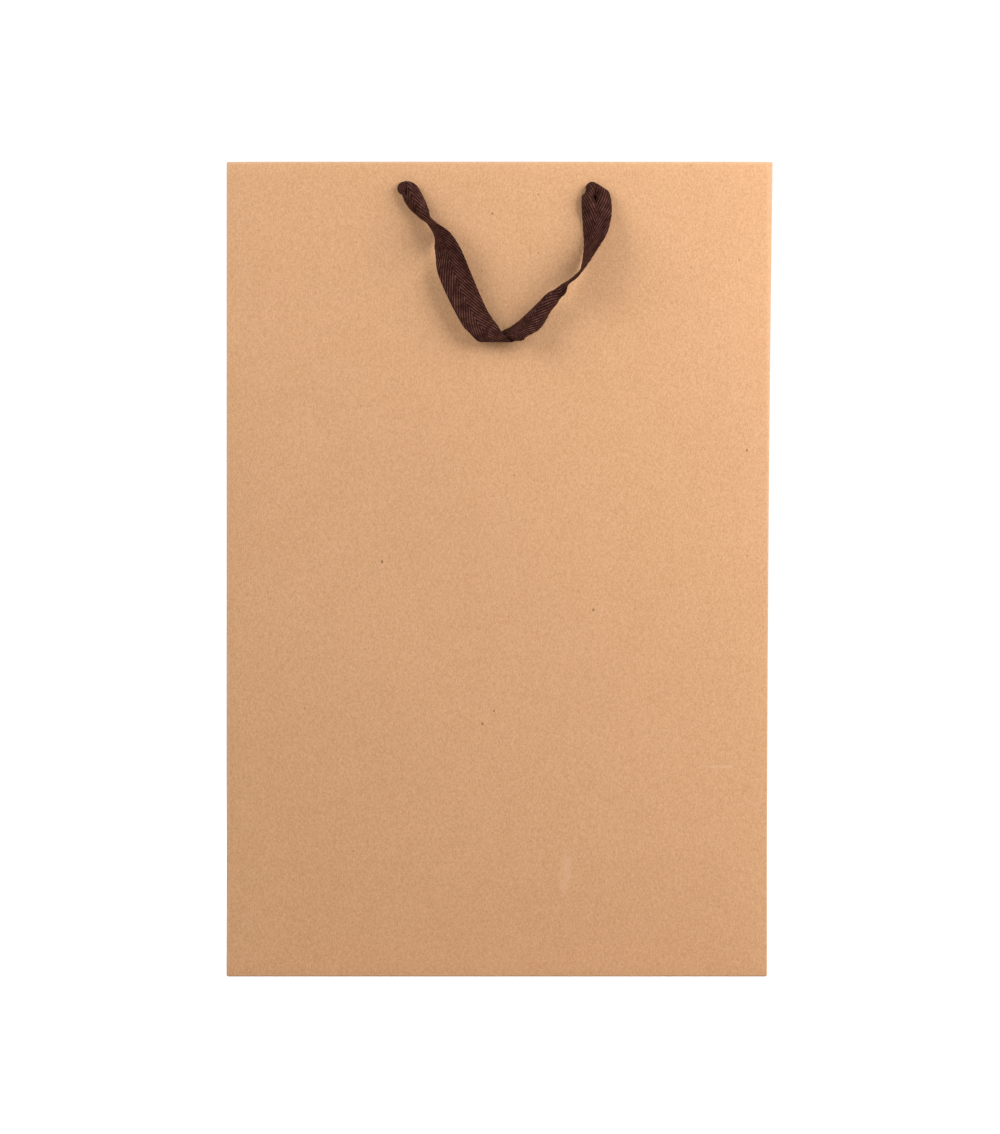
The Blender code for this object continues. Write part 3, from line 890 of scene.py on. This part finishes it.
def makeKraft(name, inside=False):
    material, tree, shader = newMaterial(name)
    add, math2, ramp, mixed = nodeMaker(tree)
    where = add("ShaderNodeTexCoord").outputs["Object"]
    pulp = add("ShaderNodeGroup", node_tree=pulpGroup)
    tree.links.new(where, pulp.inputs["Vector"])
    pulp.inputs["Cloud Size"].default_value = kraft["cloudSize"]
    marks = add("ShaderNodeGroup", node_tree=foldGroup)
    tree.links.new(where, marks.inputs["Vector"])
    marks.inputs["Half Width"].default_value = bag["halfWidth"]
    marks.inputs["Half Depth"].default_value = bag["halfDepth"]
    marks.inputs["Height"].default_value = bag["height"]
    fibre, mottle = pulp.outputs["Fibre"], pulp.outputs["Mottle"]
    colour = mixed(math2("MULTIPLY", mottle, kraft["cloudShare"]), kraft["colour"], kraft["pale"])
    colour = mixed(ramp(fibre, 0.45, 1.0, 0.0, kraft["darkFibres"]), colour, kraft["dark"])
    colour = mixed(ramp(fibre, 0.0, 0.45, kraft["paleFibres"], 0.0), colour, kraft["pale"])
    colour = mixed(math2("MULTIPLY", pulp.outputs["Flecks"], kraft["fleckShare"]), colour, kraft["fleck"])
    colour = mixed(math2("MULTIPLY", marks.outputs["Edges"], kraft["wornFolds"]), colour, kraft["scuff"])
    # painted shade: the gusset creases are darkened towards the dark kraft colour, on top of their real
    # dent
    colour = mixed(math2("MULTIPLY", marks.outputs["Creases"], kraft["creaseShade"]), colour, kraft["dark"])
    # painted shade: a faint dark line, broken up by the mottle, along the bottom crease's height all round
    # the bag
    faint = math2("MULTIPLY", ramp(mottle, 0.35, 0.75), kraft["baseCreaseShade"])
    colour = mixed(math2("MULTIPLY", marks.outputs["Base Crease Shade"], faint), colour, kraft["dark"])
    if not inside:
        parts = add("ShaderNodeSeparateXYZ", Vector=where).outputs
        onFront = math2("LESS_THAN", parts[1], 0.0)
        broken = add("ShaderNodeTexNoise", Vector=where, Scale=420.0, Detail=4.0).outputs["Fac"]
        for across, up, wide, tall, lean in scuffs:
            right = math2("SUBTRACT", parts[0], across)
            rise = math2("SUBTRACT", parts[2], up)
            right = math2("ADD", right, math2("MULTIPLY", rise, lean))
            far = math2("ADD", math2("POWER", math2("ABSOLUTE", math2("DIVIDE", right, wide)), 2.0),
                        math2("POWER", math2("ABSOLUTE", math2("DIVIDE", rise, tall)), 2.0))
            rough = math2("ADD", far, math2("MULTIPLY", math2("SUBTRACT", broken, 0.5), 2.4))
            mask = math2("MULTIPLY", ramp(rough, 0.05, 1.3, kraft["scuffShare"], 0.0), onFront)
            colour = mixed(mask, colour, kraft["scuff"])
        for across, up, size in shives:
            right = math2("DIVIDE", math2("SUBTRACT", parts[0], across), size)
            rise = math2("DIVIDE", math2("SUBTRACT", parts[2], up), size * 1.3)
            far = math2("ADD", math2("MULTIPLY", right, right), math2("MULTIPLY", rise, rise))
            mask = math2("MULTIPLY", ramp(far, 0.3, 1.3, kraft["shiveShare"], 0.0), onFront)
            colour = mixed(mask, colour, kraft["fleck"])
    tree.links.new(colour, shader.inputs["Base Color"])
    rough = ramp(fibre, 0.0, 1.0, kraft["roughness"] - 0.07, kraft["roughness"] + 0.08)
    tree.links.new(rough, shader.inputs["Roughness"])
    shader.inputs["Specular IOR Level"].default_value = 0.25
    tooth = math2("MULTIPLY", pulp.outputs["Height"], kraft["toothDepth"])
    dip = math2("MULTIPLY", marks.outputs["Creases"], kraft["creaseDip"])
    tooth = math2("SUBTRACT", tooth, dip)
    bump = add("ShaderNodeBump", Height=tooth, Strength=0.9, Distance=1.0)
    tree.links.new(bump.outputs["Normal"], shader.inputs["Normal"])
    return material


cardFinish = {
    "colour": (0.40, 0.345, 0.275, 1.0),
    "pale": (0.52, 0.46, 0.38, 1.0),
    "dark": (0.26, 0.22, 0.17, 1.0),
    "cloudSize": 120.0,
    "fibreSize": 900.0,
    "fleckSize": 420.0,
    "toothDepth": 0.08 * mm,
}


def makeCard():
    material, tree, shader = newMaterial("greyCard")
    add, math2, ramp, mixed = nodeMaker(tree)
    where = add("ShaderNodeTexCoord").outputs["Object"]
    pulp = add("ShaderNodeGroup", node_tree=pulpGroup)
    tree.links.new(where, pulp.inputs["Vector"])
    pulp.inputs["Cloud Size"].default_value = cardFinish["cloudSize"]
    pulp.inputs["Fibre Size"].default_value = cardFinish["fibreSize"]
    pulp.inputs["Fleck Size"].default_value = cardFinish["fleckSize"]
    mottle = math2("MULTIPLY", pulp.outputs["Mottle"], 0.6)
    colour = mixed(mottle, cardFinish["colour"], cardFinish["pale"])
    colour = mixed(ramp(pulp.outputs["Fibre"], 0.5, 1.0, 0.0, 0.5), colour, cardFinish["dark"])
    colour = mixed(pulp.outputs["Flecks"], colour, cardFinish["dark"])
    tree.links.new(colour, shader.inputs["Base Color"])
    shader.inputs["Roughness"].default_value = 0.9
    tooth = math2("MULTIPLY", pulp.outputs["Height"], cardFinish["toothDepth"])
    bump = add("ShaderNodeBump", Height=tooth, Strength=0.8, Distance=1.0)
    tree.links.new(bump.outputs["Normal"], shader.inputs["Normal"])
    return material


tapeFinish = {
    # the valley colour is painted shade in the grooves between ribs, the rib colour painted highlight on
    # their crests
    "valleyShade": (0.023, 0.0040, 0.0022, 1.0),
    "rib": (0.178, 0.076, 0.056, 1.0),
    "fuzz": (0.27, 0.14, 0.11, 1.0),
    "sheen": 0.03,
    "fuzzShare": 0.40,
    "ribRelief": 0.12 * mm,
    "yarnRelief": 0.03 * mm,
    "slubRelief": 0.12 * mm,
}


# twill tape: the brown painted lighter on the rib crests as highlight and darker in the grooves as shade,
# following the real ribs, with yarn slubs and a little fuzz
def makeTape():
    material, tree, shader = newMaterial("brownTwill")
    add, math2, ramp, mixed = nodeMaker(tree)
    spot = add("ShaderNodeUVMap", uv_map="tapeUV").outputs["UV"]
    parts = add("ShaderNodeSeparateXYZ", Vector=spot).outputs
    pitch = tape["ribPitch"] / uvUnit
    lean = tape["ribLean"]
    along = math2("MULTIPLY", parts[1], math.sin(lean) / pitch)
    across = math2("MULTIPLY", math2("ABSOLUTE", parts[0]), math.cos(lean) / pitch)
    phase = math2("MULTIPLY", math2("SUBTRACT", along, across), 2 * math.pi)
    wave = ramp(math2("COSINE", phase), -0.2, 1.0)
    # yarns cross each rib, with about three picks to a rib
    picks = math2("ADD", math2("MULTIPLY", along, 2.6), across)
    yarn = math2("SINE", math2("MULTIPLY", picks, 2 * math.pi))
    slub = add("ShaderNodeTexNoise", Vector=spot, Scale=2.6, Detail=7.0, Roughness=0.72).outputs["Fac"]
    streak = add("ShaderNodeMapping", Vector=spot, Scale=(14.0, 1.6, 1.0))
    drawn = add("ShaderNodeTexNoise", Vector=streak.outputs[0], Scale=1.6, Detail=3.0).outputs["Fac"]
    # painted light: the rib crests are mixed towards a painted highlight and the grooves towards painted
    # shade, dimmed by the slubs
    ribLightShade = math2("ADD", math2("MULTIPLY", wave, 0.8), math2("MULTIPLY", ramp(yarn, -1.0, 1.0), 0.2))
    ribLightShade = math2("MULTIPLY", ribLightShade, ramp(slub, 0.34, 0.66, 0.12, 1.0))
    colour = mixed(ribLightShade, tapeFinish["valleyShade"], tapeFinish["rib"])
    fuzz = math2("MULTIPLY", ramp(drawn, 0.52, 0.75, 0.0, tapeFinish["fuzzShare"]), wave)
    colour = mixed(fuzz, colour, tapeFinish["fuzz"])
    tree.links.new(colour, shader.inputs["Base Color"])
    tree.links.new(ramp(slub, 0.3, 0.7, 0.62, 0.85), shader.inputs["Roughness"])
    shader.inputs["Sheen Weight"].default_value = tapeFinish["sheen"]
    shader.inputs["Sheen Roughness"].default_value = 0.45
    shader.inputs["Sheen Tint"].default_value = (0.85, 0.50, 0.42, 1.0)
    shader.inputs["Specular IOR Level"].default_value = 0.06
    ribs = math2("MULTIPLY", wave, tapeFinish["ribRelief"])
    relief = math2("ADD", ribs, math2("MULTIPLY", yarn, tapeFinish["yarnRelief"]))
    relief = math2("ADD", relief, math2("MULTIPLY", slub, tapeFinish["slubRelief"]))
    bump = add("ShaderNodeBump", Height=relief, Strength=0.8, Distance=1.0)
    tree.links.new(bump.outputs["Normal"], shader.inputs["Normal"])
    return material


kraftOutside = makeKraft("kraftOutside")
kraftInside = makeKraft("kraftInside", inside=True)
greyCard = makeCard()
brownTwill = makeTape()


def dress(piece, material):
    piece.data.materials.clear()
    piece.data.materials.append(material)


def dressNode(node, material):
    piece = frame["nodes"][node]
    if not piece.material_slots:
        piece.data.materials.append(material)
    for place in piece.material_slots:
        place.material = material


dress(kraftSheet, kraftOutside)
dress(seamFlap, kraftInside)
for card in cards:
    dress(card, greyCard)
for piece in handles + knots:
    dress(piece, brownTwill)
dressNode("bottom_board", greyCard)
for flap in bottomFlaps[:2]:
    dress(flap, kraftInside)
for flap in bottomFlaps[2:]:
    dress(flap, kraftOutside)
print("materials made")


# studio: a white sweep, a strong soft light from the upper right, a weaker one from the upper left
# and one for the bag's back

studio = {
    "air": 0.20,
    "behind": 1.05,  # how bright the backdrop looks
    "floor": (0.62, 0.61, 0.60, 1.0),
    "floorGlow": 0.92,
    "floorReach": 6,
    "key": {"place": (0.54, -0.41, 0.55), "size": 0.50, "power": 5.3},
    "fill": {"place": (-0.60, -0.44, 0.68), "size": 0.50, "power": 3.9},
    "rear": {"place": (0.30, 0.85, 0.62), "size": 0.60, "power": 4.0},
}


def makeStudio():
    world = bpy.data.worlds.new("studioAir")
    bpy.context.scene.world = world
    world.use_nodes = True
    add, math2, ramp, mixed = nodeMaker(world.node_tree)
    air = world.node_tree.nodes["Background"]
    seen = add("ShaderNodeLightPath").outputs["Is Camera Ray"]
    strength = math2("ADD", math2("MULTIPLY", seen, studio["behind"] - studio["air"]), studio["air"])
    world.node_tree.links.new(strength, air.inputs["Strength"])
    air.inputs["Color"].default_value = (1, 1, 1, 1)
    reach = studio["floorReach"]
    corners = [(-reach, -reach, 0), (reach, -reach, 0), (reach, reach, 0), (-reach, reach, 0)]
    floor = newPiece("floor", corners, [(0, 1, 2, 3)], smooth=False)
    material, tree, shader = newMaterial("paleFloor")
    add, math2, ramp, mixed = nodeMaker(tree)
    shader.inputs["Base Color"].default_value = studio["floor"]
    shader.inputs["Roughness"].default_value = 0.9
    shader.inputs["Emission Color"].default_value = (1, 1, 1, 1)
    seen = add("ShaderNodeLightPath").outputs["Is Camera Ray"]
    tree.links.new(math2("MULTIPLY", seen, studio["floorGlow"]), shader.inputs["Emission Strength"])
    dress(floor, material)
    for name in ("key", "fill", "rear"):
        light = bpy.data.lights.new(name, "AREA")
        light.shape = "SQUARE"
        light.size = studio[name]["size"]
        light.energy = studio[name]["power"]
        lamp = bpy.data.objects.new(name, light)
        bpy.context.scene.collection.objects.link(lamp)
        lamp.location = studio[name]["place"]
        aim = Vector((0, 0, bag["height"] / 2)) - lamp.location
        lamp.rotation_euler = aim.to_track_quat("-Z", "Y").to_euler()
        lamp.visible_camera = False
    bpy.context.scene.view_settings.view_transform = "Standard"
    bpy.context.scene.view_settings.look = "None"


makeStudio()
print("studio made")
